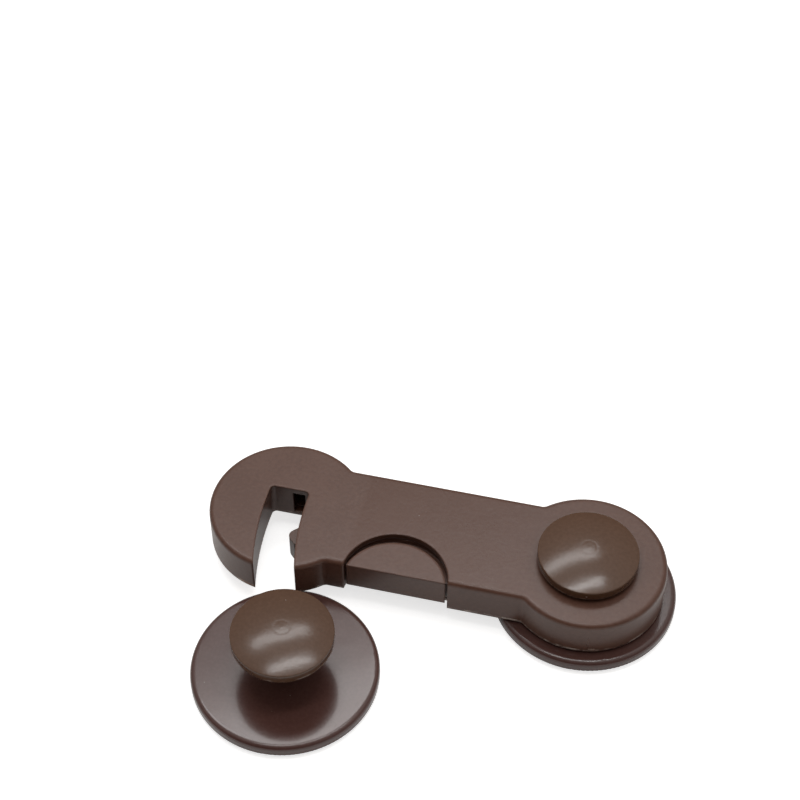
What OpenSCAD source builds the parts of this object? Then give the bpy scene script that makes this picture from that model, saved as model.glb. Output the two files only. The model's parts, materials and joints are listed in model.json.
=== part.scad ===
// Cabinet safety lock: a hook arm that swings between two stick-on bases. A half-moon button
// in the arm's edge draws back the bolt that keeps the strike stem in the hook's slot.
// Millimetres. The origin is on the pivot axis, in the mounting face of the pivot's pad.
// Z points away from the furniture, and the arm is shown open, with its hook towards -X.

/* [Bases] */
// Diameter of both base discs
disc_d = 35; // [33:0.5:42]
// Thickness of the base discs
disc_t = 2.4; // [2.2:0.1:4]
// Radius of the rounded rim of the discs
disc_edge_r = 1; // [0.3:0.1:1.2]
// Thickness of the adhesive foam pads
pad_t = 0.8; // [0.5:0.1:2]
// Width of the ring of disc that each pad leaves bare
pad_margin = 0.8; // [0.3:0.1:2]
// Distance from the pivot axis to the strike stem
reach = 59; // [57:0.2:70]
// Width by which the open hook stands over the strike's disc
hook_over = 1.5; // [0.5:0.1:3]
// Diameter of the pivot hub
hub_d = 12; // [10:0.5:13]
// Diameter of the strike stem
stem_d = 6.6; // [6:0.1:7]
// Radius of the fillet at the root of hub and stem
root_r = 0.4; // [0.1:0.1:0.5]
// Diameter of the shoulder on which the arm turns
shoulder_d = 18; // [16:0.5:22]

/* [Caps] */
// Diameter of the domed caps
cap_d = 19; // [17:0.5:22]
// Height of the caps' rim
rim_h = 2.2; // [1.5:0.1:3]
// Rise of the dome above the rim
dome_rise = 1.7; // [1:0.1:3]
// Radius of the edge between rim and dome
cap_edge_r = 0.5; // [0.2:0.1:0.8]
// Radius of the rim's lower edge
cap_low_r = 0.6; // [0.1:0.1:0.8]
// Diameter of the boss that goes down into hub or stem
boss_d = 3.8; // [3.6:0.1:4]
// Diameter of the ring that the moulding gate leaves on the dome
gate_d = 3; // [2:0.5:5]

/* [Arm] */
// Diameter of the round heads of the arm
head_d = 30; // [29:0.5:33]
// Distance by which the hook's head lies nearer to the pivot than the closed stem
hook_back = 0.8; // [0.5:0.1:2]
// Width of the bar between the heads
bar_w = 22.2; // [21:0.1:24]
// Height of the arm
arm_h = 7.9; // [7.5:0.1:9]
// Radius of the rounded upper edge of the arm
arm_edge_r = 0.9; // [0.3:0.1:1.2]
// Radius of the hollow corners where bar and heads meet
neck_r = 2.5; // [1.5:0.1:4]
// Thickness of the arm's side walls
wall_t = 1.6; // [1.4:0.1:1.8]
// Thickness of the arm's top plate
plate_t = 1.3; // [1:0.1:1.5]
// Gap between the disc and the arm above it
arm_lift = 0.5; // [0.4:0.1:1]
// Gap between the arm and the cap above it
cap_gap = 0.4; // [0.3:0.1:0.8]

/* [Hook slot] */
// Width of the slot
slot_w = 7.7; // [7.6:0.1:9]
// Gap between the stem and the slot wall nearer the pivot
slot_gap = 0.8; // [0.3:0.1:0.8]
// Distance of the closed end beyond the centre of the head
slot_end = 3.9; // [3.6:0.1:5]
// Radius of the corners at the closed end
slot_corner_r = 0.9; // [0.4:0.1:1.5]
// Width of the mouth in the slot's end wall, which opens into the latch chamber
mouth_w = 2.4; // [1.5:0.1:3]

/* [Press button] */
// Distance of the button's middle from the closed stem, towards the pivot
button_back = 24.6; // [24:0.1:26]
// Half the width of the arched window at the side of the arm
window_half = 10; // [9.5:0.1:10.5]
// Gap between each end of the half-moon and its window
window_gap = 0.4; // [0.3:0.1:0.8]
// Travel of the button
press_travel = 1.2; // [1:0.1:1.8]
// Distance of the button's top below the top of the arm
button_sink = 0.7; // [0.5:0.1:0.9]
// Distance of the button's front behind the side of the arm
button_setback = 0.3; // [0.1:0.1:0.6]
// Width of the flange under the top plate, all round the half-moon
flange_w = 2.5; // [2.1:0.1:2.6]

/* [Latch bolt] */
// Travel of the bolt, which the button's wedge gives it
bolt_travel = 2; // [1.8:0.1:2.2]
// Length of the bolt's nose in the slot
nose_out = 1.75; // [1.4:0.05:1.8]
// Width of the bolt's nose along the slot
nose_w = 4; // [3.4:0.1:4.2]
// Radius of the nose's rounded tip
nose_r = 1.3; // [0.8:0.1:1.4]
// Gap between the stem's centre line and the nose, along the slot
nose_back = 3.6; // [2.3:0.1:4]
// Thickness of the bolt's upright bar
bolt_t = 2.8; // [2.2:0.1:3]
// Width of the bolt's tail
tail_w = 2.8; // [2:0.1:3]
// Width of the wedge on the button
wedge_w = 4.6; // [4.2:0.1:5]
// Length by which the wedge and the foot lie beside each other at rest
wedge_lap = 1.6; // [1.2:0.1:2]
// Width of the foot at the end of the tail
foot_w = 4.6; // [4:0.1:5]
// Room between the tail's guide rib and the far wall of the arm
rib_room = 2; // [0.8:0.1:2.4]

/* [Spring] */
// Mean diameter of the spring's coils
coil_d = 2.8; // [2.6:0.1:3]
// Diameter of the spring wire
wire_d = 0.4; // [0.3:0.05:0.45]
// Number of coils
coils = 8; // [6:1:8]

/* [Back cover and screws] */
// Thickness of the back cover
cover_t = 0.9; // [0.8:0.1:1.1]
// Diameter of the cap screws
cap_screw_d = 2; // [1.8:0.1:2.2]
// Length of the cap screws under their heads
cap_screw_len = 7; // [5:0.5:8]
// Diameter of the cover screws
cover_screw_d = 1.6; // [1.4:0.1:1.8]
// Length of the cover screws
cover_screw_len = 4.5; // [3:0.5:5]

/* [Clearances] */
// Radial clearance of the arm on its hub
turn_gap = 0.08; // [0.03:0.01:0.1]
// Clearance of the sliding parts
slide_gap = 0.15; // [0.1:0.01:0.2]
// Clearance of parts that are fixed to each other
fit_gap = 0.05; // [0.02:0.01:0.08]

/* [Hidden] */
$fn = 96;
fine_fn = 360;
hidden_fn = 48;
overrun = 1;
brown = [0.33, 0.24, 0.2];
cap_brown = [0.28, 0.2, 0.15];
foam_grey = [0.8, 0.8, 0.78];
steel = [0.7, 0.71, 0.73];

disc_r = disc_d / 2;
disc_low_r = 0.3;
hub_r = hub_d / 2;
stem_r = stem_d / 2;
cap_r = cap_d / 2;
boss_r = boss_d / 2;
head_r = head_d / 2;
bar_half = bar_w / 2;
head_span = reach - hook_back;

// The arm is open until its hook covers just hook_over of the strike's disc
stem_off = disc_r + head_r - hook_over;
open_angle = acos(
    (pow(reach, 2) + pow(head_span, 2) - pow(stem_off, 2)) / (2 * reach * head_span)
);
strike_at = [-reach * cos(open_angle), -reach * sin(open_angle)];
echo(open_angle = open_angle, strike_at = strike_at);

// Levels from the mounting face upwards
disc_top = pad_t + disc_t;
arm_z = disc_top + arm_lift;
arm_top = arm_z + arm_h;
plate_z = arm_top - plate_t;
cover_top = arm_z + cover_t;
cap_z = arm_top + cap_gap;
shoulder_gap = 0.1;

// Screw heads and their seats
cap_head_d = 2 * cap_screw_d;
cap_head_h = 0.7 * cap_screw_d;
seat_z = pad_t + shoulder_gap + cap_head_h;
web_t = 1.4;
socket_z = seat_z + web_t;
socket_r = boss_r + fit_gap;
cover_head_d = 2 * cover_screw_d;
post_r = cover_screw_d / 2 + wall_t;

// Dome of a cap, as a circle that also touches the rounded edge
dome_r = (pow(cap_r, 2) + pow(dome_rise, 2)) / (2 * dome_rise);
dome_z = rim_h + dome_rise - dome_r;
edge_z = dome_z + sqrt(pow(dome_r - cap_edge_r, 2) - pow(cap_r - cap_edge_r, 2));
dome_end = (cap_r - cap_edge_r) * dome_r / (dome_r - cap_edge_r);
gate_w = gate_d / 12;
gate_depth = gate_d / 25;

// Hollow corners of the arm: each circle bites a little into the head and the bar beside it
neck_bite = neck_r / 50;
neck_y = bar_half + neck_r - neck_bite;
neck_x = sqrt(pow(head_r + neck_r - neck_bite, 2) - pow(neck_y, 2));

// Slot: both its long walls are round the pivot
slot_in_r = reach - stem_r - slot_gap;
slot_out_r = slot_in_r + slot_w;

// Row across the bar, from the far wall to the button: rib, tail, wedge, foot and flange
pocket_half = bar_half - wall_t;
rib_t = 1;
stop_gap = 0.3;
press_room = press_travel + stop_gap;
tail_y = pocket_half - rib_room - rib_t - slide_gap - tail_w;
wedge_top = tail_y - press_room;
foot_y = wedge_top - wedge_lap;
flange_back = foot_y - press_room;

// Button: the window takes what the row leaves, and the half-moon lies back by its travel
button_x = reach - button_back;
window_depth = flange_back - flange_w + press_room + bar_half;
window_r = (pow(window_half, 2) + pow(window_depth, 2)) / (2 * window_depth);
window_at = [-button_x, window_depth - bar_half - window_r];
moon_half = window_half - window_gap;
moon_depth = window_depth - press_room;
moon_r = (pow(moon_half, 2) + pow(moon_depth, 2)) / (2 * moon_depth);
moon_at = [-button_x, moon_depth - bar_half - moon_r];
flange_r = moon_r + flange_w;
groove_w = press_room + slide_gap;
groove_h = 1.2;
button_z = cover_top + slide_gap;
button_top = arm_top - button_sink;
flange_top = plate_z - slide_gap;

// Wedge: the foot moves by bolt_travel while the button moves by press_travel
wedge_angle = atan(press_travel / bolt_travel);
bolt_top = plate_z - stop_gap;
wedge_left = moon_at[0] - wedge_w / 2;
wedge_tip = wedge_left + wedge_w / 5;

// Bolt
bar_low = -nose_back - nose_w - slide_gap;
wall_in_r = slot_in_r - wall_t;
bolt_left = -sqrt(pow(wall_in_r, 2) - pow(bar_low, 2)) + slide_gap;
bolt_right = bolt_left + bolt_t;
nose_at = [
    -sqrt(pow(slot_in_r, 2) - pow(nose_back + nose_w / 2, 2)) - nose_out + nose_r,
    -nose_back - nose_w / 2
];

// Spring and the rib that it pushes against
coil_r = coil_d / 2;
spring_y = tail_y - slide_gap - coil_r - wire_d;
spring_z = (button_z + bolt_top) / 2;
rib_right = wedge_left - bolt_travel + slide_gap;
rib_left = rib_right - rib_t;
rib_low = spring_y - coil_r;
spigot_r = coil_r - wire_d - slide_gap / 2;
spigot_len = 1.2;

// Guide rib on the back cover, in a groove under the button
guide_w = 1.4;
guide_h = 1.6;
guide_y = [-pocket_half + rib_t, flange_back - rib_t];

// Places of the cover screws: beyond the pivot, in the bar and over the slot
pivot_post = hub_r + turn_gap + wall_t;
screw_places = [
    [(pivot_post + head_r - wall_t) / 2, 0],
    [(-button_x + flange_r - pivot_post) / 2, 0],
    [-head_span - head_r / 3, (slot_end + head_r) / 2]
];

// Spring's centre line, with rings points to a coil
ring_count = 8;
side_count = 6;
spring_from = bolt_right + wire_d / 2;
spring_to = rib_left - wire_d / 2;
spring_pitch = (spring_to - spring_from) / coils;
function coil_point(i) = [
    spring_from + spring_pitch * i / ring_count,
    spring_y + coil_r * cos(360 * i / ring_count),
    spring_z + coil_r * sin(360 * i / ring_count)
];
spring_line = [for (i = [0 : coils * ring_count]) coil_point(i)];
least_gap = min([
    for (i = [0 : len(spring_line) - ring_count])
    for (k = [ring_count - 2 : ring_count + 2])
    if (i + k < len(spring_line)) norm(spring_line[i] - spring_line[i + k])
]) - wire_d;
echo(least_gap_between_coils = least_gap);

// A disc whose upper rim is rounded, and its lower rim a little if low_r is given
module round_disc(r, h, edge_r, low_r) {
    rotate_extrude() {
        translate([0, low_r]) square([r, h - edge_r - low_r]);
        square([r - max(edge_r, low_r), h]);
        if (low_r > 0) translate([r - low_r, low_r]) circle(low_r, $fn = hidden_fn);
        if (low_r > 0) square([r - low_r, h - edge_r]);
        translate([r - edge_r, h - edge_r]) circle(edge_r, $fn = hidden_fn);
    }
}

// Post with a small fillet at its root
module rooted_post(r, h) {
    cylinder(r = r, h = h);
    rotate_extrude() difference() {
        square([r + root_r, root_r]);
        translate([r + root_r, root_r]) circle(root_r, $fn = hidden_fn);
    }
}

// Base disc with its post, which is hollow for the boss of the cap and its screw
module base(post_r) {
    difference() {
        union() {
            translate([0, 0, pad_t]) round_disc(disc_r, disc_t, disc_edge_r, disc_low_r);
            translate([0, 0, disc_top]) rooted_post(post_r, cap_z - disc_top);
        }
        translate([0, 0, socket_z]) cylinder(r = socket_r, h = cap_z);
        cylinder(d = cap_screw_d + 4 * fit_gap, h = cap_z, $fn = hidden_fn);
        cylinder(d = cap_head_d + 4 * fit_gap, h = seat_z, $fn = hidden_fn);
    }
}

module cap_profile() {
    translate([0, cap_low_r]) square([cap_r, edge_z - cap_low_r]);
    square([cap_r - cap_low_r, edge_z]);
    translate([cap_r - cap_low_r, cap_low_r]) circle(cap_low_r, $fn = hidden_fn);
    translate([cap_r - cap_edge_r, edge_z]) circle(cap_edge_r, $fn = hidden_fn);
    intersection() {
        translate([0, dome_z]) circle(dome_r, $fn = fine_fn);
        square([dome_end, rim_h + dome_rise]);
    }
}

// Domed cap with the ring of its moulding gate and its boss
module cap() {
    boss_len = cap_z - socket_z - slide_gap;
    difference() {
        union() {
            rotate_extrude() cap_profile();
            translate([0, 0, -boss_len]) cylinder(r = boss_r, h = boss_len + cap_low_r);
        }
        translate([0, 0, rim_h + dome_rise - gate_depth]) difference() {
            cylinder(d = gate_d, h = overrun, $fn = hidden_fn);
            cylinder(d = gate_d - 2 * gate_w, h = overrun, $fn = hidden_fn);
        }
        translate([0, 0, -boss_len - overrun])
            cylinder(d = cap_screw_d + 2 * fit_gap, h = boss_len + overrun, $fn = hidden_fn);
    }
}

module pad() {
    cylinder(r = disc_r - pad_margin, h = pad_t);
}

// Cross recess that a screwdriver fits, cut into a screw head from below
module cross_recess(width) {
    for (turn = [0, 90])
        rotate([0, 0, turn])
            translate([-width / 2, -width / 8, -width / 2]) cube([width, width / 4, width]);
}

module cap_screw() {
    difference() {
        union() {
            translate([0, 0, seat_z - cap_head_h])
                cylinder(d = cap_head_d, h = cap_head_h, $fn = hidden_fn);
            translate([0, 0, seat_z])
                cylinder(d = cap_screw_d, h = cap_screw_len, $fn = hidden_fn);
        }
        translate([0, 0, seat_z - cap_head_h]) cross_recess(cap_head_d * 2 / 3);
    }
}

// Countersunk screw of the back cover, flush with its underside
module cover_screw() {
    difference() {
        union() {
            cylinder(d1 = cover_head_d, d2 = cover_screw_d, h = cover_t, $fn = hidden_fn);
            cylinder(d = cover_screw_d, h = cover_screw_len, $fn = hidden_fn);
        }
        cross_recess(cover_head_d * 2 / 3);
    }
}

// Section of the bar, seen from its end, with rounded upper corners
module bar_profile() {
    translate([-bar_half, 0]) square([bar_w, arm_h - arm_edge_r]);
    translate([arm_edge_r - bar_half, 0]) square([bar_w - 2 * arm_edge_r, arm_h]);
    for (side = [-1, 1])
        translate([side * (bar_half - arm_edge_r), arm_h - arm_edge_r])
            circle(arm_edge_r, $fn = hidden_fn);
}

// One hollow corner between a head and the bar, cut by a post that flares at the top edge
module neck() {
    head_side = [neck_x, neck_y] * (head_r - 2 * arm_edge_r) / norm([neck_x, neck_y]);
    difference() {
        linear_extrude(arm_h)
            polygon([head_side, [neck_x, neck_y], [neck_x, bar_half - 2 * arm_edge_r]]);
        translate([neck_x, neck_y, 0]) rotate_extrude() difference() {
            translate([0, -overrun]) square([neck_r + arm_edge_r, arm_h + 2 * overrun]);
            translate([neck_r, -overrun])
                square([arm_edge_r + overrun, arm_h - arm_edge_r + overrun]);
            translate([neck_r + arm_edge_r, arm_h - arm_edge_r])
                circle(arm_edge_r, $fn = hidden_fn);
        }
    }
}

// The arm as one solid block: two heads, the bar and the four hollow corners
module arm_block() {
    translate([0, 0, arm_z]) {
        for (x = [0, -head_span]) translate([x, 0, 0]) round_disc(head_r, arm_h, arm_edge_r, 0);
        translate([-head_span, 0, 0])
            rotate([90, 0, 90]) linear_extrude(head_span) bar_profile();
        for (side = [0, 1]) mirror([0, side, 0]) {
            mirror([1, 0, 0]) neck();
            translate([-head_span, 0, 0]) neck();
        }
    }
}

// Outline of the hollow inside the arm, drawn in by inset from the outer walls
module pocket_outline(inset) {
    for (x = [0, -head_span]) translate([x, 0]) circle(head_r - inset);
    translate([-head_span, inset - bar_half]) square([head_span, bar_w - 2 * inset]);
}

// Outline of the hook's slot, made larger by grow
module slot_outline(grow) {
    corner = slot_corner_r + grow;
    top = slot_end + grow;
    in_x = -sqrt(pow(slot_in_r - grow + corner, 2) - pow(top - corner, 2));
    out_x = -sqrt(pow(slot_out_r + grow - corner, 2) - pow(top - corner, 2));
    difference() {
        intersection() {
            circle(slot_out_r + grow, $fn = fine_fn);
            translate([-head_span - head_r, -head_r - overrun])
                square([2 * head_r, head_r + overrun + top]);
        }
        circle(slot_in_r - grow, $fn = fine_fn);
        difference() {
            translate([out_x - corner - overrun, top - corner])
                square([corner + overrun, corner + overrun]);
            translate([out_x, top - corner]) circle(corner, $fn = hidden_fn);
        }
        difference() {
            translate([in_x, top - corner]) square([corner + overrun, corner + overrun]);
            translate([in_x, top - corner]) circle(corner, $fn = hidden_fn);
        }
    }
}

// Round spigot that centres one end of the spring, pointing along X
module spigot(x, length) {
    translate([x, spring_y, spring_z]) rotate([0, 90, 0])
        cylinder(r = spigot_r, h = length, $fn = hidden_fn);
}

// Moulded shell of the arm: top plate and walls, slot wall, pivot boss, posts and ribs
module arm_shell() {
    pocket_h = plate_z - cover_top;
    color(brown) difference() {
        union() {
            difference() {
                arm_block();
                translate([0, 0, arm_z - overrun])
                    linear_extrude(plate_z - arm_z + overrun) pocket_outline(wall_t);
            }
            translate([0, 0, arm_z]) linear_extrude(plate_z - arm_z + plate_t / 2)
                intersection() {
                    slot_outline(wall_t);
                    translate([-head_span, 0]) circle(head_r - wall_t / 2);
                }
            translate([0, 0, arm_z]) cylinder(r = pivot_post, h = arm_h - plate_t / 2);
            for (at = screw_places)
                translate([at[0], at[1], cover_top])
                    cylinder(r = post_r, h = pocket_h + plate_t / 2, $fn = hidden_fn);
            translate([rib_left, rib_low, cover_top])
                cube([rib_t, tail_y - slide_gap - rib_low, pocket_h + plate_t / 2]);
            translate([rib_left - 2 * bolt_t, tail_y + tail_w + slide_gap, cover_top])
                cube([3 * bolt_t, rib_t, pocket_h + plate_t / 2]);
            spigot(rib_left - spigot_len, spigot_len + rib_t / 2);
        }
        translate([0, 0, arm_z - overrun])
            linear_extrude(arm_h + 2 * overrun) slot_outline(0);
        translate([0, 0, arm_z - overrun])
            cylinder(r = hub_r + turn_gap, h = arm_h + 2 * overrun);
        translate([window_at[0], window_at[1], arm_z - overrun])
            cylinder(r = window_r, h = arm_h + 2 * overrun);
        for (at = screw_places)
            translate([at[0], at[1], cover_top - overrun])
                cylinder(
                    d = cover_screw_d + 2 * fit_gap,
                    h = cover_screw_len - cover_t + 2 * overrun, $fn = hidden_fn
                );
        translate([-slot_in_r - overrun, bar_low, cover_top])
            cube([wall_t + 2 * overrun, nose_w + 2 * slide_gap, pocket_h]);
        translate([-slot_in_r - slot_corner_r - mouth_w, slot_end - wall_t, cover_top])
            cube([mouth_w, 3 * wall_t, pocket_h]);
    }
}

// Plate that closes the arm from below, with the rib that guides the button
module back_cover() {
    color(brown) difference() {
        union() {
            translate([0, 0, arm_z]) linear_extrude(cover_t) difference() {
                pocket_outline(wall_t + fit_gap);
                slot_outline(wall_t + fit_gap);
                circle(pivot_post + fit_gap);
            }
            translate([-button_x - guide_w / 2, guide_y[0], cover_top - cover_t / 2])
                cube([guide_w, guide_y[1] - guide_y[0], guide_h + cover_t / 2]);
        }
        for (at = screw_places)
            translate([at[0], at[1], arm_z])
                cylinder(
                    d1 = cover_head_d + 2 * fit_gap, d2 = cover_screw_d + 2 * fit_gap,
                    h = cover_t, $fn = hidden_fn
                );
    }
}

// Part of a disc round the half-moon's centre that lies behind the line y = front
module moon_slice(r, front) {
    intersection() {
        translate(moon_at) circle(r);
        translate([moon_at[0] - r, front]) square([2 * r, moon_at[1] + r - front + overrun]);
    }
}

// Wedge behind the half-moon: its slanted side pushes the foot of the bolt
module wedge_outline() {
    fall = wedge_top - flange_back + rib_t;
    polygon([
        [wedge_left, flange_back - rib_t], [wedge_left, wedge_top], [wedge_tip, wedge_top],
        [wedge_tip + fall / tan(wedge_angle), flange_back - rib_t]
    ]);
}

module press_button() {
    color(brown) difference() {
        union() {
            translate([0, 0, button_z]) linear_extrude(button_top - button_z)
                moon_slice(moon_r, button_setback - bar_half);
            translate([0, 0, button_z]) linear_extrude(flange_top - groove_h - button_z)
                moon_slice(flange_r, fit_gap - pocket_half);
            translate([0, 0, button_z]) linear_extrude(flange_top - button_z) difference() {
                moon_slice(flange_r, fit_gap - pocket_half);
                moon_slice(moon_r + groove_w, -bar_half);
            }
            translate([0, 0, button_z]) linear_extrude(bolt_top - button_z)
                wedge_outline();
        }
        translate([
            -button_x - guide_w / 2 - slide_gap, guide_y[0] - press_travel - slide_gap,
            button_z - overrun
        ])
            cube([
                guide_w + 2 * slide_gap,
                guide_y[1] - guide_y[0] + press_travel + 2 * slide_gap,
                guide_h + overrun
            ]);
    }
}

// Bolt from above: rounded nose with its two slanted flanks, upright bar, tail and foot
module bolt_outline() {
    flank = nose_r * sin(45);
    flank_x = nose_at[0] - flank + nose_w / 2 - flank;
    foot_left = wedge_tip + slide_gap / sin(wedge_angle)
        - (foot_y - wedge_top) / tan(wedge_angle);
    translate(nose_at) circle(nose_r, $fn = hidden_fn);
    polygon([
        [bolt_right, nose_at[1] + nose_w / 2], [flank_x, nose_at[1] + nose_w / 2],
        nose_at + [-flank, flank], nose_at - [flank, flank],
        [flank_x, nose_at[1] - nose_w / 2], [bolt_right, nose_at[1] - nose_w / 2]
    ]);
    translate([bolt_left, bar_low]) square([bolt_t, tail_y + tail_w - bar_low]);
    translate([bolt_left, tail_y]) square([foot_left + foot_w - bolt_left, tail_w]);
    polygon([
        [foot_left, foot_y], [foot_left + foot_w, foot_y], [foot_left + foot_w, tail_y],
        [foot_left - (tail_y - foot_y) / tan(wedge_angle), tail_y]
    ]);
}

module latch_bolt() {
    color(brown) {
        translate([0, 0, button_z]) linear_extrude(bolt_top - button_z) bolt_outline();
        spigot(bolt_right - bolt_t / 2, spigot_len + bolt_t / 2);
    }
}

// Compression spring: one tube swept along the coil's own points
module latch_spring() {
    turns = len(spring_line);
    slope = atan(spring_pitch / (2 * PI * coil_r));
    points = [
        for (i = [0 : turns - 1]) let (a = 360 * i / ring_count)
        let (out = [0, cos(a), sin(a)])
        let (up = [cos(slope), sin(slope) * sin(a), -sin(slope) * cos(a)])
        for (s = [0 : side_count - 1]) let (b = 360 * s / side_count)
        spring_line[i] + (out * cos(b) + up * sin(b)) * wire_d / 2
    ];
    sides = [
        for (i = [0 : turns - 2], s = [0 : side_count - 1])
        let (a = i * side_count + s, b = i * side_count + (s + 1) % side_count)
        for (face = [[a, b, b + side_count], [a, b + side_count, a + side_count]]) face
    ];
    last = (turns - 1) * side_count;
    ends = [
        for (s = [1 : side_count - 2])
        for (face = [[0, s + 1, s], [last, last + s, last + s + 1]]) face
    ];
    color(steel) polyhedron(points, concat(sides, ends));
}

module pivot_base() {
    color(brown) {
        base(hub_r);
        translate([0, 0, disc_top]) difference() {
            cylinder(d = shoulder_d, h = arm_lift - shoulder_gap);
            translate([0, 0, -overrun]) cylinder(r = hub_r - root_r, h = 2 * overrun + arm_lift);
        }
    }
}

module pivot_cap() {
    color(cap_brown) translate([0, 0, cap_z]) cap();
}

module pivot_pad() {
    color(foam_grey) pad();
}

module strike_base() {
    color(brown) translate(strike_at) base(stem_r);
}

module strike_cap() {
    color(cap_brown) translate([strike_at[0], strike_at[1], cap_z]) cap();
}

module strike_pad() {
    color(foam_grey) translate(strike_at) pad();
}

module cap_screws() {
    color(steel) for (at = [[0, 0], strike_at]) translate(at) cap_screw();
}

module cover_screws() {
    color(steel) for (at = screw_places) translate([at[0], at[1], arm_z]) cover_screw();
}

pivot_base();
pivot_cap();
pivot_pad();
strike_base();
strike_cap();
strike_pad();
cap_screws();
arm_shell();
back_cover();
cover_screws();
press_button();
latch_bolt();
latch_spring();
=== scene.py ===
import bpy
import bmesh
import json
import math
from mathutils import Matrix, Vector


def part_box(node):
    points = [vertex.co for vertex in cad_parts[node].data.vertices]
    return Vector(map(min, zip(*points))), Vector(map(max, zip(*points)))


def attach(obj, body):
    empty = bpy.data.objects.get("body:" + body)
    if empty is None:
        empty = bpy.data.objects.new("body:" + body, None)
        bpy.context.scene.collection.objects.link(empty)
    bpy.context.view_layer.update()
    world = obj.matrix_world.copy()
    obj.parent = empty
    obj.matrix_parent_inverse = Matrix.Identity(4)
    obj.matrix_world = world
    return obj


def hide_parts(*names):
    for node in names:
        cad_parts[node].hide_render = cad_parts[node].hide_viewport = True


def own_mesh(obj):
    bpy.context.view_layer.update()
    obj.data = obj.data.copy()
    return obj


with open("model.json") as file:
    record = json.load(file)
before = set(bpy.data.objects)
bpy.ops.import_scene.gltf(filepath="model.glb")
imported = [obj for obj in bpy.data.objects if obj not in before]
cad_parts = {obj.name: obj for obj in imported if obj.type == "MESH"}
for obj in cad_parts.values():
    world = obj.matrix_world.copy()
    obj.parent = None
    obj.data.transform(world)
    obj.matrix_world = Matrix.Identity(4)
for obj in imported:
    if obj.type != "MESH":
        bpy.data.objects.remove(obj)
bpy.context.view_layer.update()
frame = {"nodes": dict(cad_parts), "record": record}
nodes = frame["nodes"]
mm = 0.001
print("stage: frame loaded,", len(nodes), "nodes")


# a value is a plain number or colour, or another node's output
def feed(tree, socket, value):
    if hasattr(value, "links"):
        tree.links.new(value, socket)
    else:
        socket.default_value = value


# an underscore in a name stands for a blank in the socket's label
def feedAll(tree, node, values):
    for name, value in values.items():
        feed(tree, node.inputs[name.replace("_", " ")], value)


def addNode(tree, kind, **values):
    node = tree.nodes.new("ShaderNode" + kind)
    feedAll(tree, node, values)
    return node


def mathNode(tree, operation, *values, clamp=False):
    node = tree.nodes.new("ShaderNodeMath")
    node.operation = operation
    node.use_clamp = clamp
    for socket, value in zip(node.inputs, values):
        feed(tree, socket, value)
    return node.outputs["Value"]


def times(tree, first, second):
    return mathNode(tree, "MULTIPLY", first, second)


def vectorNode(tree, operation, first, second):
    node = tree.nodes.new("ShaderNodeVectorMath")
    node.operation = operation
    feed(tree, node.inputs[0], first)
    feed(tree, node.inputs[1], second)
    return node.outputs["Value"]


def rangeNode(tree, value, low, high, toLow=0, toHigh=1):
    node = addNode(tree, "MapRange", Value=value, From_Min=low, From_Max=high)
    feedAll(tree, node, {"To Min": toLow, "To Max": toHigh})
    return node.outputs["Result"]


def noiseNode(tree, vector, scale, detail, roughness):
    node = addNode(tree, "TexNoise", Vector=vector, Scale=scale, Detail=detail, Roughness=roughness)
    return node.outputs["Fac"]


def splitNode(tree, vector):
    return addNode(tree, "SeparateXYZ", Vector=vector).outputs


def objectPlace(tree):
    return addNode(tree, "TexCoord").outputs["Object"]


def surfaceNormal(tree):
    return addNode(tree, "NewGeometry").outputs["Normal"]


def mixColor(tree, factor, first, second):
    node = tree.nodes.new("ShaderNodeMix")
    node.data_type = "RGBA"
    for i, value in ((0, factor), (6, first), (7, second)):     # where a colour mix has its sockets
        feed(tree, node.inputs[i], value)
    return node.outputs[2]


# heights are in mm
def bumpNode(tree, height, **values):
    return addNode(tree, "Bump", Height=height, Distance=mm, **values).outputs["Normal"]


def newPaint(name):
    paint = bpy.data.materials.new(name)
    paint.use_nodes = True
    return paint, paint.node_tree, paint.node_tree.nodes["Principled BSDF"]


cameraLook = {
    "azimuth": 13.17,       # degrees round the lock, 0 looks along +Y
    "elevation": 48.87,
    "distance": 373 * mm,
    "target": (-43.96 * mm, 33.88 * mm, 8 * mm),
    "focalPixels": 1829,    # in the 800 pixel frame
    "framePixels": 800,
    "sensor": 36,           # mm
    "clip": (0.01, 10),
}


def towards(azimuth, elevation):
    a = math.radians(azimuth)
    e = math.radians(elevation)
    return Vector((math.sin(a) * math.cos(e), -math.cos(a) * math.cos(e), math.sin(e)))


def makeCamera(look):
    data = bpy.data.cameras.new("view")
    data.sensor_width = look["sensor"]
    data.lens = look["focalPixels"] * look["sensor"] / look["framePixels"]
    data.clip_start, data.clip_end = look["clip"]
    camera = bpy.data.objects.new("view", data)
    back = towards(look["azimuth"], look["elevation"])
    camera.location = Vector(look["target"]) + back * look["distance"]
    camera.rotation_euler = (-back).to_track_quat("-Z", "Y").to_euler()
    bpy.context.scene.collection.objects.link(camera)
    bpy.context.scene.camera = camera


# each lamp stands in a direction from the lock's middle and faces it
lampMiddle = Vector((-40 * mm, -8 * mm, 8 * mm))
lampLook = {
    "strip": {
        "way": (-0.202, 0.392, 0.898), "away": 0.62, "size": (0.461, 0.093), "turn": 34, "glow": 6.1,
    },
    "overhead": {
        "way": (0.042, 0.013, 0.999), "away": 0.55, "size": (0.337, 0.04), "turn": 31, "glow": 13.5,
    },
}


def makeLamp(name, look):
    data = bpy.data.lights.new(name, "AREA")
    data.shape = "RECTANGLE"
    data.size, data.size_y = look["size"]
    data.energy = look["glow"] * math.pi * data.size * data.size_y
    lamp = bpy.data.objects.new(name, data)
    way = Vector(look["way"]).normalized()
    lamp.location = lampMiddle + way * look["away"]
    across = Matrix.Rotation(math.radians(look["turn"]), 3, "Z") @ Vector((1, 0, 0))
    across = (across - way * across.dot(way)).normalized()
    lamp.rotation_euler = Matrix((across, way.cross(across), way)).transposed().to_euler()
    bpy.context.scene.collection.objects.link(lamp)


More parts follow.
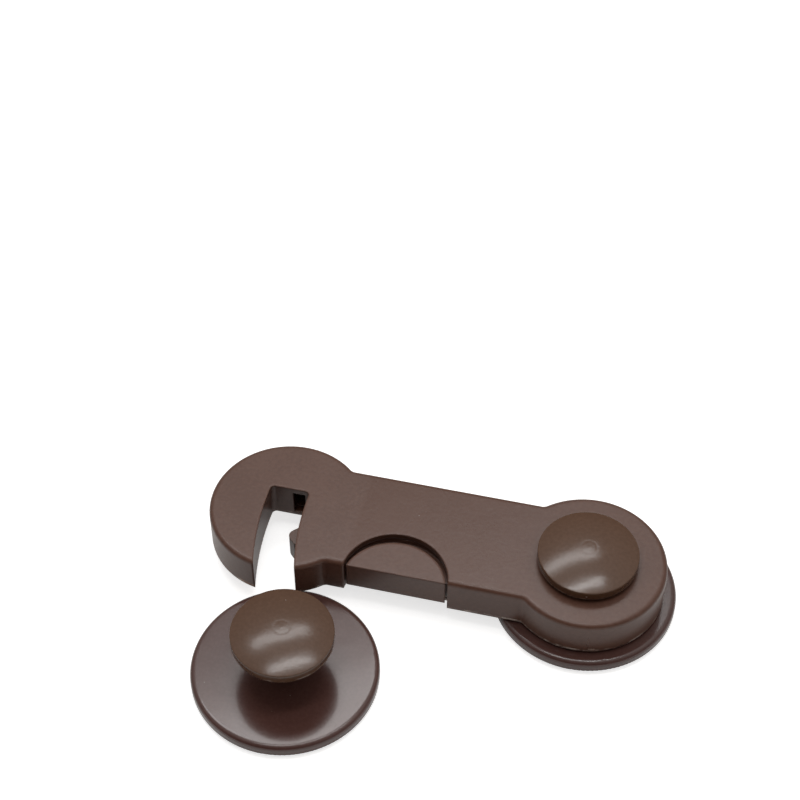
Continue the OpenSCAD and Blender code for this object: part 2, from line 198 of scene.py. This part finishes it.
# the camera sees white, and the lock is lit by a glow that climbs from the horizon
skyLook = {
    "glow": (0.02, 1.05),   # at the horizon and overhead
    "frontShare": 0.12,     # how much of that is left on the camera's side
    "frontSpan": (-0.85, 0.15),
    "color": (1, 0.985, 0.965, 1),
    "seenColor": (1, 1, 1, 1),
}


def makeSky(look):
    world = bpy.data.worlds.new("studio")
    world.use_nodes = True
    tree = world.node_tree
    tree.nodes.clear()
    way = splitNode(tree, addNode(tree, "TexCoord").outputs["Generated"])
    climb = rangeNode(tree, way["Z"], 0, 1, *look["glow"])
    fade = rangeNode(tree, way["Y"], *look["frontSpan"], look["frontShare"])
    light = addNode(tree, "Background", Color=look["color"], Strength=times(tree, climb, fade))
    seen = addNode(tree, "Background", Color=look["seenColor"])
    pick = addNode(tree, "MixShader", Fac=addNode(tree, "LightPath").outputs["Is Camera Ray"])
    tree.links.new(light.outputs["Background"], pick.inputs[1])
    tree.links.new(seen.outputs["Background"], pick.inputs[2])
    addNode(tree, "OutputWorld", Surface=pick.outputs["Shader"])
    bpy.context.scene.world = world


floorLook = {
    "half": 2.5,
    "gap": 0.05 * mm,
    "color": (0.8, 0.795, 0.785, 1),
    "roughness": 0.9,
    "specular": 0.1,
    "lift": 0.7,            # how much whiter the camera sees it
    "glossLift": 0.2,       # and how much whiter gloss shows it
}


def makeFloor(look):
    paint, tree, shader = newPaint("paleFloor")
    shader.inputs["Base Color"].default_value = look["color"]
    shader.inputs["Roughness"].default_value = look["roughness"]
    shader.inputs["Specular IOR Level"].default_value = look["specular"]
    path = addNode(tree, "LightPath").outputs
    seen = times(tree, path["Is Camera Ray"], look["lift"])
    shine = times(tree, path["Is Glossy Ray"], look["glossLift"])
    glow = addNode(tree, "Emission", Strength=mathNode(tree, "ADD", seen, shine))
    both = tree.nodes.new("ShaderNodeAddShader")
    tree.links.new(shader.outputs["BSDF"], both.inputs[0])
    tree.links.new(glow.outputs["Emission"], both.inputs[1])
    tree.links.new(both.outputs["Shader"], tree.nodes["Material Output"].inputs["Surface"])
    bm = bmesh.new()
    bmesh.ops.create_grid(bm, x_segments=1, y_segments=1, size=look["half"])
    bmesh.ops.translate(bm, verts=bm.verts, vec=(0, 0, -look["gap"]))
    mesh = bpy.data.meshes.new("floor")
    bm.to_mesh(mesh)
    bm.free()
    mesh.materials.append(paint)
    floor = bpy.data.objects.new("floor", mesh)
    bpy.context.scene.collection.objects.link(floor)


bpy.context.scene.view_settings.view_transform = "Standard"
makeCamera(cameraLook)
for lampName in lampLook:
    makeLamp(lampName, lampLook[lampName])
makeSky(skyLook)
makeFloor(floorLook)
print("stage: camera, lamps and floor")


# inputs are given with the value that they start at
def newGroup(name, inputs, outputs):
    group = bpy.data.node_groups.new(name, "ShaderNodeTree")
    for label, start in inputs.items():
        kind = "NodeSocketVector" if isinstance(start, tuple) else "NodeSocketFloat"
        group.interface.new_socket(label, in_out="INPUT", socket_type=kind).default_value = start
    for label in outputs:
        kind = "NodeSocketVector" if label == "Normal" else "NodeSocketFloat"
        group.interface.new_socket(label, in_out="OUTPUT", socket_type=kind)
    take = group.nodes.new("NodeGroupInput")
    give = group.nodes.new("NodeGroupOutput")
    return group, take.outputs, give.inputs


def placeGroup(tree, group, **values):
    node = tree.nodes.new("ShaderNodeGroup")
    node.node_tree = group
    feedAll(tree, node, values)
    return node.outputs


# satin skin of a mould, its height in mm: fine grain and pits over the slow ripple of shrinkage
grainLook = {
    "fine": (3, 0.6),               # detail and roughness of each noise
    "pits": (2, 0.5),
    "ripple": (1, 0.5),
    "drift": (3, 0.55),
    "pitScale": 0.25,               # against the grain's own
    "pitDepth": 2.2,                # against the grain's own
    "rippleScale": 240,
    "driftScale": 70,
    "driftSpan": (0.3, 0.7),
    "mottle": (3, -1.5),            # what the pits add to the colour's drift
    "glossShare": 0.5,              # of the grain and of the drift
}


def makeMouldGrain(look):
    starts = {"Grain Scale": 1, "Grain Height": 0, "Ripple Height": 0}
    starts["Ripple Scale"] = look["rippleScale"]
    tree, take, give = newGroup("mouldGrain", starts, ("Height", "Gloss", "Drift"))
    place = objectPlace(tree)
    fine = noiseNode(tree, place, take["Grain Scale"], *look["fine"])
    pits = noiseNode(tree, place, times(tree, take["Grain Scale"], look["pitScale"]), *look["pits"])
    ripple = noiseNode(tree, place, take["Ripple Scale"], *look["ripple"])
    drift = noiseNode(tree, place, look["driftScale"], *look["drift"])
    rough = mathNode(tree, "ADD", fine, times(tree, pits, look["pitDepth"]))
    grain = times(tree, rough, take["Grain Height"])
    slow = times(tree, ripple, take["Ripple Height"])
    fineGloss = times(tree, fine, look["glossShare"])
    slowGloss = times(tree, drift, look["glossShare"])
    spread = rangeNode(tree, drift, *look["driftSpan"])
    mottle = mathNode(tree, "MULTIPLY_ADD", pits, *look["mottle"])
    tree.links.new(mathNode(tree, "ADD", grain, slow), give["Height"])
    tree.links.new(mathNode(tree, "ADD", fineGloss, slowGloss), give["Gloss"])
    tree.links.new(mathNode(tree, "ADD", spread, mottle, clamp=True), give["Drift"])
    return tree


# edges: a normal that rounds them, and a mask where the skin is painted paler, partly wear from
# handling and partly a painted highlight along the edge
rubAndSheenLook = {
    "samples": 6,
    "turned": (0.995, 0.85),        # cosine between flat and rounded normal, from no wear to all of it
    "patchScale": 600,
    "patch": (3, 0.5),
    "patchSpan": (0.35, 0.65, 0.35, 1),
}


def makeEdgeRubAndSheen(look):
    starts = {"Reach": 0, "Breakup Scale": look["patchScale"]}
    tree, take, give = newGroup("edgeRubAndSheen", starts, ("Mask", "Normal"))
    rounded = addNode(tree, "Bevel", Radius=take["Reach"])
    rounded.samples = look["samples"]
    facing = vectorNode(tree, "DOT_PRODUCT", rounded.outputs["Normal"], surfaceNormal(tree))
    turned = rangeNode(tree, facing, *look["turned"])
    patches = noiseNode(tree, objectPlace(tree), take["Breakup Scale"], *look["patch"])
    broken = rangeNode(tree, patches, *look["patchSpan"])
    tree.links.new(times(tree, turned, broken), give["Mask"])
    tree.links.new(rounded.outputs["Normal"], give["Normal"])
    return tree


# broken line of flash where two halves of a mould met, at one height on upright walls
seamLook = {
    "width": 0.3 * mm,
    "core": 0.3,                    # share of the width at full strength
    "upright": (0.5, 0.2),          # the normal's rise, from none of the line to all of it
    "gapScale": 420,
    "gap": (3, 0.6),
    "gapSpan": (0.46, 0.62, 0.04, 1),
}


def makeSeam(look):
    tree, take, give = newGroup("seam", {"Level": 0, "Width": look["width"]}, ("Mask",))
    place = objectPlace(tree)
    rise = mathNode(tree, "SUBTRACT", splitNode(tree, place)["Z"], take["Level"])
    away = mathNode(tree, "ABSOLUTE", rise)
    line = rangeNode(tree, away, take["Width"], times(tree, take["Width"], look["core"]))
    tilt = mathNode(tree, "ABSOLUTE", splitNode(tree, surfaceNormal(tree))["Z"])
    upright = rangeNode(tree, tilt, *look["upright"])
    gaps = noiseNode(tree, place, look["gapScale"], *look["gap"])
    broken = rangeNode(tree, gaps, *look["gapSpan"])
    tree.links.new(times(tree, times(tree, line, upright), broken), give["Mask"])
    return tree


# warm tint where a thin lower edge lets light through, near one point
thinEdgeLook = {
    "along": 3 * mm,
    "alongCore": 0.4,               # share of it at full strength
    "height": 0.9 * mm,
    "heightCore": 0.3,
}


def makeThinEdge(look):
    starts = {"Tip": (0, 0, 0), "Along": look["along"], "Height": look["height"]}
    tree, take, give = newGroup("thinEdge", starts, ("Mask",))
    place = objectPlace(tree)
    away = vectorNode(tree, "DISTANCE", place, take["Tip"])
    near = rangeNode(tree, away, take["Along"], times(tree, take["Along"], look["alongCore"]))
    rise = mathNode(tree, "SUBTRACT", splitNode(tree, place)["Z"], splitNode(tree, take["Tip"])["Z"])
    low = rangeNode(tree, rise, take["Height"], times(tree, take["Height"], look["heightCore"]))
    tree.links.new(times(tree, near, low), give["Mask"])
    return tree


# the arm's top past the button is darker and glossier, from a crisp step to a slow fade
plateLook = {
    "step": 1.3 * mm,               # from the button's end
    "stepWidth": 1.2 * mm,
    "fade": (-19 * mm, -10 * mm),
    "depth": 0.3 * mm,              # below the arm's top, and above that it shows
    "depthFade": 0.1 * mm,
    "smoother": 0.03,
    "deepen": 0.5,
    "color": (0.079, 0.025, 0.009, 1),
}


def makePlateMask(look):
    starts = {"Step": 0, "Step Width": look["stepWidth"], "Fade Start": 0, "Fade End": 0, "Floor": 0}
    tree, take, give = newGroup("plateMask", starts, ("Mask",))
    place = splitNode(tree, objectPlace(tree))
    past = mathNode(tree, "ADD", take["Step"], take["Step Width"])
    begin = rangeNode(tree, place["X"], take["Step"], past)
    end = rangeNode(tree, place["X"], take["Fade End"], take["Fade Start"])
    rise = mathNode(tree, "SUBTRACT", place["Z"], take["Floor"])
    above = rangeNode(tree, rise, 0, look["depthFade"])
    tree.links.new(times(tree, times(tree, begin, end), above), give["Mask"])
    return tree


# sparse pale specks of dust, thicker on faces that look up
dustLook = {
    "speckScale": 420,
    "speck": (0.05, 0.015),
    "patchScale": 160,
    "patch": (2, 0.5),
    "patchSpan": (0.56, 0.62),
    "upward": (0.1, 0.9),
    "amount": 0.5,
}


def makeDust(look):
    starts = {"Speck Scale": look["speckScale"], "Amount": look["amount"]}
    tree, take, give = newGroup("dust", starts, ("Mask",))
    place = objectPlace(tree)
    cells = addNode(tree, "TexVoronoi", Vector=place, Scale=take["Speck Scale"])
    speck = rangeNode(tree, cells.outputs["Distance"], *look["speck"])
    patches = noiseNode(tree, place, look["patchScale"], *look["patch"])
    rare = rangeNode(tree, patches, *look["patchSpan"])
    upward = rangeNode(tree, splitNode(tree, surfaceNormal(tree))["Z"], *look["upward"])
    mask = times(tree, times(tree, speck, rare), upward)
    tree.links.new(times(tree, mask, take["Amount"]), give["Mask"])
    return tree


mouldGrain = makeMouldGrain(grainLook)
edgeRubAndSheen = makeEdgeRubAndSheen(rubAndSheenLook)
seam = makeSeam(seamLook)
thinEdge = makeThinEdge(thinEdgeLook)
plateMask = makePlateMask(plateLook)
dust = makeDust(dustLook)
print("stage: shared effects")

# what all the plastics share
skinLook = {
    "rubAndSheenShare": 0.55,                   # share of the paler edge colour, wear and painted highlight, on a full edge
    "glossSpan": (0.3, 0.7),        # of the noise, from the first roughness to the second
    "flashColor": (0.5, 0.41, 0.36, 1),
    "flashHeight": 0.04,
    "dustColor": (0.5, 0.46, 0.42, 1),
    "coatRoughness": 0.08,
    "ior": 1.5,
}
# a seam is a node, its low or high corner (0 or 1) and the height from there, and thin parts
# are the claw and the plate, which only the arm has
plasticLook = {
    "arm_plastic": {
        "color": (0.09, 0.038, 0.0235), "drift": (0.106, 0.047, 0.03), "rubAndSheenColor": (0.22, 0.12, 0.085),
        "rough": (0.29, 0.36), "grain": 5200, "grainHeight": 0.007, "rippleHeight": 0.02,
        "coat": 0, "specular": 0.445, "seam": ("arm_shell", 0, 0.38 * mm), "flash": 0.85,
        "edge": 0.6 * mm, "thinParts": True,
    },
    "disc_plastic": {
        "color": (0.076, 0.033, 0.027), "drift": (0.086, 0.039, 0.032), "rubAndSheenColor": (0.16, 0.1, 0.085),
        "rough": (0.17, 0.22), "grain": 6500, "grainHeight": 0.002, "rippleHeight": 0.012,
        "coat": 0.2, "specular": 0.5, "seam": ("strike_base", 0, 0.3 * mm), "flash": 0.14,
        "edge": 0.4 * mm, "thinParts": False,
    },
    "cap_plastic": {
        "color": (0.083, 0.036, 0.016), "drift": (0.095, 0.043, 0.021), "rubAndSheenColor": (0.16, 0.1, 0.065),
        "rough": (0.165, 0.22), "grain": 6000, "grainHeight": 0.004, "rippleHeight": 0.03,
        "coat": 0, "specular": 0.5, "seam": ("strike_cap", 1, -3.3 * mm), "flash": 0.16,
        "edge": 0.3 * mm, "thinParts": False,
    },
    "bolt_plastic": {
        "color": (0.084, 0.041, 0.027), "drift": (0.094, 0.047, 0.032), "rubAndSheenColor": (0.17, 0.11, 0.085),
        "rough": (0.28, 0.36), "grain": 5200, "grainHeight": 0.005, "rippleHeight": 0.02,
        "coat": 0, "specular": 0.43, "seam": None,
        "edge": 0.3 * mm, "thinParts": False,
    },
}
clawLook = {"tip": (-62.2 * mm, -14.5 * mm), "warmth": 0.6, "color": (0.4, 0.16, 0.045, 1)}


def warmClaw(tree, color, look):
    tip = placeGroup(tree, thinEdge, Tip=(*look["tip"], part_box("arm_shell")[0].z))
    return mixColor(tree, times(tree, tip["Mask"], look["warmth"]), color, look["color"])


def placePlate(tree, look):
    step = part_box("press_button")[0].x + look["step"]
    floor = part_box("arm_shell")[1].z - look["depth"]
    fadeStart, fadeEnd = look["fade"]
    plate = placeGroup(tree, plateMask, Step=step, Fade_Start=fadeStart, Fade_End=fadeEnd, Floor=floor)
    return plate["Mask"]


def makePlastic(name, look):
    paint, tree, shader = newPaint(name)
    grain = placeGroup(tree, mouldGrain, Grain_Scale=look["grain"], Grain_Height=look["grainHeight"],
                       Ripple_Height=look["rippleHeight"])
    rubAndSheen = placeGroup(tree, edgeRubAndSheen, Reach=look["edge"])
    specks = placeGroup(tree, dust)
    height = grain["Height"]
    color = mixColor(tree, grain["Drift"], (*look["color"], 1), (*look["drift"], 1))
    rough = rangeNode(tree, grain["Gloss"], *skinLook["glossSpan"], *look["rough"])
    if look["seam"]:
        node, corner, shift = look["seam"]
        line = placeGroup(tree, seam, Level=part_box(node)[corner].z + shift)["Mask"]
        color = mixColor(tree, times(tree, line, look["flash"]), color, skinLook["flashColor"])
        height = mathNode(tree, "ADD", height, times(tree, line, skinLook["flashHeight"]))
    # paler edges: wear from handling and a painted highlight, mixed into the colour
    color = mixColor(tree, times(tree, rubAndSheen["Mask"], skinLook["rubAndSheenShare"]), color, (*look["rubAndSheenColor"], 1))
    if look["thinParts"]:
        color = warmClaw(tree, color, clawLook)
        plate = placePlate(tree, plateLook)
        color = mixColor(tree, times(tree, plate, plateLook["deepen"]), color, plateLook["color"])
        rough = mathNode(tree, "MULTIPLY_ADD", plate, -plateLook["smoother"], rough)
    color = mixColor(tree, specks["Mask"], color, skinLook["dustColor"])
    tree.links.new(color, shader.inputs["Base Color"])
    tree.links.new(rough, shader.inputs["Roughness"])
    tree.links.new(bumpNode(tree, height, Normal=rubAndSheen["Normal"]), shader.inputs["Normal"])
    shader.inputs["Coat Weight"].default_value = look["coat"]
    shader.inputs["Coat Roughness"].default_value = skinLook["coatRoughness"]
    shader.inputs["Specular IOR Level"].default_value = look["specular"]
    shader.inputs["IOR"].default_value = skinLook["ior"]
    return paint


# the foam's cells are painted darker in their sunken hollows, a painted shade
foamLook = {
    "color": (0.74, 0.73, 0.7, 1),
    "poreShade": (0.55, 0.54, 0.51, 1),
    "cells": 2600,
    "poreSpan": (0.15, 0.5),
    "lift": 0.025,
    "blurScale": 900,
    "blur": (2, 0.5),
    "rough": (0.3, 0.7, 0.75, 0.92),
}


def makeFoam(look):
    paint, tree, shader = newPaint("adhesive_foam")
    place = objectPlace(tree)
    cells = addNode(tree, "TexVoronoi", Vector=place, Scale=look["cells"])
    openness = rangeNode(tree, cells.outputs["Distance"], *look["poreSpan"])
    blur = noiseNode(tree, place, look["blurScale"], *look["blur"])
    # painted shade in the cells' hollows
    tree.links.new(mixColor(tree, openness, look["poreShade"], look["color"]), shader.inputs["Base Color"])
    tree.links.new(rangeNode(tree, blur, *look["rough"]), shader.inputs["Roughness"])
    tree.links.new(bumpNode(tree, times(tree, openness, look["lift"])), shader.inputs["Normal"])
    return paint


# what both steels share
metalLook = {
    "stainScale": 500,
    "stain": (3, 0.6),
    "stainSpan": (0.42, 0.62),
    "line": (2, 0.5),
    "lineSpan": (0.3, 0.7),
    "lineHeight": 0.002,
}
steelLook = {
    "screw_steel": {
        "color": (0.56, 0.56, 0.57), "tarnish": (0.4, 0.38, 0.34), "rough": (0.26, 0.42), "lines": 3000,
    },
    "spring_steel": {
        "color": (0.45, 0.45, 0.46), "tarnish": (0.3, 0.29, 0.27), "rough": (0.22, 0.36), "lines": 4200,
    },
}


def makeSteel(name, look):
    paint, tree, shader = newPaint(name)
    place = objectPlace(tree)
    stain = noiseNode(tree, place, metalLook["stainScale"], *metalLook["stain"])
    stained = rangeNode(tree, stain, *metalLook["stainSpan"])
    lines = noiseNode(tree, place, look["lines"], *metalLook["line"])
    color = mixColor(tree, stained, (*look["color"], 1), (*look["tarnish"], 1))
    tree.links.new(color, shader.inputs["Base Color"])
    rough = rangeNode(tree, lines, *metalLook["lineSpan"], *look["rough"])
    tree.links.new(rough, shader.inputs["Roughness"])
    tree.links.new(bumpNode(tree, times(tree, lines, metalLook["lineHeight"])), shader.inputs["Normal"])
    shader.inputs["Metallic"].default_value = 1
    return paint


finishes = {"adhesive_foam": makeFoam(foamLook)}
for plasticName in plasticLook:
    finishes[plasticName] = makePlastic(plasticName + "_look", plasticLook[plasticName])
for steelName in steelLook:
    finishes[steelName] = makeSteel(steelName + "_look", steelLook[steelName])
for row in frame["record"]["subparts"]:
    nodes[row["node"]].data.materials[0] = finishes[row["material_slot"]]
print("stage: finishes on the CAD nodes")


def newPiece(name, bm, body, paint):
    bmesh.ops.recalc_face_normals(bm, faces=bm.faces)
    mesh = bpy.data.meshes.new(name)
    bm.to_mesh(mesh)
    bm.free()
    mesh.materials.append(paint)
    for face in mesh.polygons:
        face.use_smooth = True
    piece = bpy.data.objects.new(name, mesh)
    bpy.context.scene.collection.objects.link(piece)
    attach(piece, body)
    return piece


def onlyVerts(items):
    return [item for item in items if isinstance(item, bmesh.types.BMVert)]


def eachOnce(items):
    return list(dict.fromkeys(items))


# a block with rounded edges, set on a round wall at an angle from straight ahead
def addWallNub(bm, look, radius, level):
    cube = bmesh.ops.create_cube(bm, size=1)["verts"]
    bmesh.ops.scale(bm, verts=cube, vec=look["size"])
    edges = eachOnce(edge for vert in cube for edge in vert.link_edges)
    rounded = bmesh.ops.bevel(bm, geom=edges, offset=look["round"], affect="EDGES",
                              segments=look["segments"], profile=0.5, material=-1)
    made = eachOnce(vert for face in rounded["faces"] for vert in face.verts)
    bmesh.ops.translate(bm, verts=made, vec=(0, look["sunk"] - radius, level + look["up"]))
    bmesh.ops.rotate(bm, verts=made, matrix=Matrix.Rotation(math.radians(look["angle"]), 3, "Z"))


# freshly broken plastic, paler than the arm's and without its flash line
def makeScarPlastic(name, color):
    look = dict(plasticLook["arm_plastic"], color=color, drift=color, seam=None, thinParts=False)
    return makePlastic(name, look)


# what is left of the gate on the wall of the arm's round head, and the weld line above it
gateLook = {
    "stub": {
        "angle": 14, "up": 0.75 * mm, "size": (1.2 * mm, 0.5 * mm, 0.45 * mm),
        "round": 0.12 * mm, "segments": 3, "sunk": 0.1 * mm,
    },
    "weld": {
        "angle": 11, "up": 2.9 * mm, "size": (0.14 * mm, 0.3 * mm, 2.6 * mm),
        "round": 0.06 * mm, "segments": 3, "sunk": 0.12 * mm,
    },
    "color": (0.2, 0.13, 0.1),
}


def makeGate(look):
    low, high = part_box("arm_shell")
    bm = bmesh.new()
    for part in ("stub", "weld"):
        addWallNub(bm, look[part], high.x, low.z)
    newPiece("gate_scar", bm, "arm", makeScarPlastic("gate_scar_look", look["color"]))


# small pale speck on the rim of the pivot's cap, below its top
fleckLook = {
    "angle": 7.25, "up": -2.6 * mm, "size": (0.34 * mm, 0.3 * mm, 0.3 * mm),
    "round": 0.1 * mm, "segments": 3, "sunk": 0.08 * mm,
    "color": (0.2, 0.13, 0.1),
}


def makeFleck(look):
    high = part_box("pivot_cap")[1]
    bm = bmesh.new()
    addWallNub(bm, look, high.x, high.z)
    # the speck is drawn in the same pale plastic as the gate's scar
    newPiece("rim_fleck", bm, "bases", makeScarPlastic("rim_fleck_look", look["color"]))


# round marks that the mould's ejector pins leave under the arm
pinLook = {
    "radius": 1.3 * mm,
    "sides": 40,
    "rim": 0.12 * mm,
    "proud": 0.05 * mm,
    "sunk": 0.05 * mm,
    "places": (
        (-6.2 * mm, 11.2 * mm), (-6.2 * mm, -11.2 * mm), (-21 * mm, 7 * mm),
        (-46 * mm, 7.4 * mm), (-47 * mm, -6.6 * mm), (-54.5 * mm, 9.6 * mm),
    ),
}


def makePinMarks(look):
    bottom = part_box("back_cover")[0].z
    inward = 1 - look["rim"] / look["radius"]
    bm = bmesh.new()
    for x, y in look["places"]:
        inner = bmesh.ops.create_circle(bm, segments=look["sides"], radius=look["radius"])["verts"]
        edges = eachOnce(edge for vert in inner for edge in vert.link_edges)
        grown = bmesh.ops.extrude_edge_only(bm, edges=edges)["geom"]
        outer = onlyVerts(grown)
        bmesh.ops.scale(bm, verts=inner, vec=(inward, inward, 1))
        ring = [item for item in grown if isinstance(item, bmesh.types.BMFace)]
        upper = onlyVerts(bmesh.ops.extrude_face_region(bm, geom=ring, use_keep_orig=True)["geom"])
        bmesh.ops.translate(bm, verts=upper, vec=(0, 0, look["proud"] + look["sunk"]))
        bmesh.ops.translate(bm, verts=inner + outer + upper, vec=(x, y, bottom - look["proud"]))
    newPiece("pin_marks", bm, "arm", finishes["arm_plastic"])


makeGate(gateLook)
makeFleck(fleckLook)
makePinMarks(pinLook)
print("stage: small moulded pieces")

# the caps, with the sink in the middle of the dome and the soft ring that the gate leaves
capLook = {
    "rim": 2.2 * mm, "rise": 1.7 * mm, "topRound": 0.5 * mm, "lowRound": 0.6 * mm, "roundSteps": 8,
    "boss": 1.9 * mm, "bore": 1.05 * mm, "arcSteps": 90, "turnSteps": 128, "merge": 0.001 * mm,
    "sink": 0.045 * mm, "sinkReach": 3.6 * mm,
    "ring": 0.012 * mm, "ringRadius": 1.4 * mm, "ringWidth": 0.26 * mm,
    "pip": 0.012 * mm, "pipWidth": 0.52 * mm,
    "sharpAngle": 40,
}


def bell(value, middle, width):
    return math.exp(-((value - middle) / width) ** 2)


def makeCap(name, look):
    low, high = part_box(name)
    axis = Vector(((low.x + high.x) / 2, (low.y + high.y) / 2, 0))
    radius = (high.x - low.x) / 2
    domeRadius = (radius ** 2 + look["rise"] ** 2) / (2 * look["rise"])
    rimTop = high.z - look["rise"]
    foot = rimTop - look["rim"]
    bm = bmesh.new()
    # the dome's section is an arc, and the rest goes down the rim, in to the boss and up its bore
    peak = bm.verts.new((0, 0, high.z))
    bmesh.ops.spin(bm, geom=[peak], cent=(0, 0, high.z - domeRadius), axis=(0, 1, 0), dvec=(0, 0, 0),
                   angle=math.asin(radius / domeRadius), steps=look["arcSteps"], use_duplicate=False)
    corners = [max(bm.verts, key=lambda vert: vert.co.x)]
    for r, z in ((radius, foot), (look["boss"], foot), (look["boss"], low.z), (look["bore"], low.z),
                 (look["bore"], foot), (0, foot)):
        corners.append(bm.verts.new((r, 0, z)))
        bm.edges.new(corners[-2:])
    for corner, roundness in ((corners[0], look["topRound"]), (corners[1], look["lowRound"])):
        bmesh.ops.bevel(bm, geom=[corner], offset=roundness, affect="VERTICES",
                        segments=look["roundSteps"], profile=0.5, material=-1)
    section = list(bm.verts) + list(bm.edges)
    bmesh.ops.spin(bm, geom=section, cent=(0, 0, 0), axis=(0, 0, 1), dvec=(0, 0, 0),
                   angle=2 * math.pi, steps=look["turnSteps"], use_merge=True, use_duplicate=False)
    bmesh.ops.remove_doubles(bm, verts=bm.verts, dist=look["merge"])
    for vert in bm.verts:
        away = vert.co.xy.length
        if vert.co.z > rimTop and away < look["sinkReach"]:
            dip = look["sink"] * (0.5 + 0.5 * math.cos(math.pi * away / look["sinkReach"]))
            dip += look["ring"] * bell(away, look["ringRadius"], look["ringWidth"])
            vert.co.z -= dip - look["pip"] * bell(away, 0, look["pipWidth"])
    bmesh.ops.translate(bm, verts=bm.verts, vec=axis)
    cap = newPiece(name + "_dome", bm, "bases", finishes["cap_plastic"])
    cap.data.set_sharp_from_angle(angle=math.radians(look["sharpAngle"]))
    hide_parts(name)


for capName in ("pivot_cap", "strike_cap"):
    makeCap(capName, capLook)
print("stage: caps")

# the bolt's spring, with closed end coils; on the real lock it shortens as the bolt is drawn back
springLook = {"wire": 0.4 * mm, "sides": 12, "coils": 8, "stepsPerCoil": 28, "endPitch": 0.46 * mm}


def makeSpring(look):
    low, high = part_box("latch_spring")
    middle = (low + high) / 2
    wireRadius = look["wire"] / 2
    coilRadius = (high.y - low.y) / 2 - wireRadius
    start = low.x + wireRadius
    end = high.x - wireRadius
    freeCoils = look["coils"] - 2
    pitch = (end - start - 2 * look["endPitch"]) / freeCoils
    bm = bmesh.new()
    bmesh.ops.create_circle(bm, segments=look["sides"], radius=wireRadius, cap_ends=True)
    bmesh.ops.translate(bm, verts=bm.verts, vec=(start, middle.y + coilRadius, middle.z))
    last = list(bm.verts) + list(bm.edges) + list(bm.faces)
    for turns, rise in ((1, look["endPitch"]), (freeCoils, pitch), (1, look["endPitch"])):
        wound = bmesh.ops.spin(bm, geom=last, cent=(0, middle.y, middle.z), axis=(1, 0, 0),
                               dvec=(rise / look["stepsPerCoil"], 0, 0), angle=2 * math.pi * turns,
                               steps=turns * look["stepsPerCoil"], use_merge=False, use_duplicate=False)
        last = wound["geom_last"]
    spring = newPiece("coil_spring", bm, "arm", finishes["spring_steel"])
    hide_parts("latch_spring")
    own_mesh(spring)


makeSpring(springLook)
print("stage: spring")
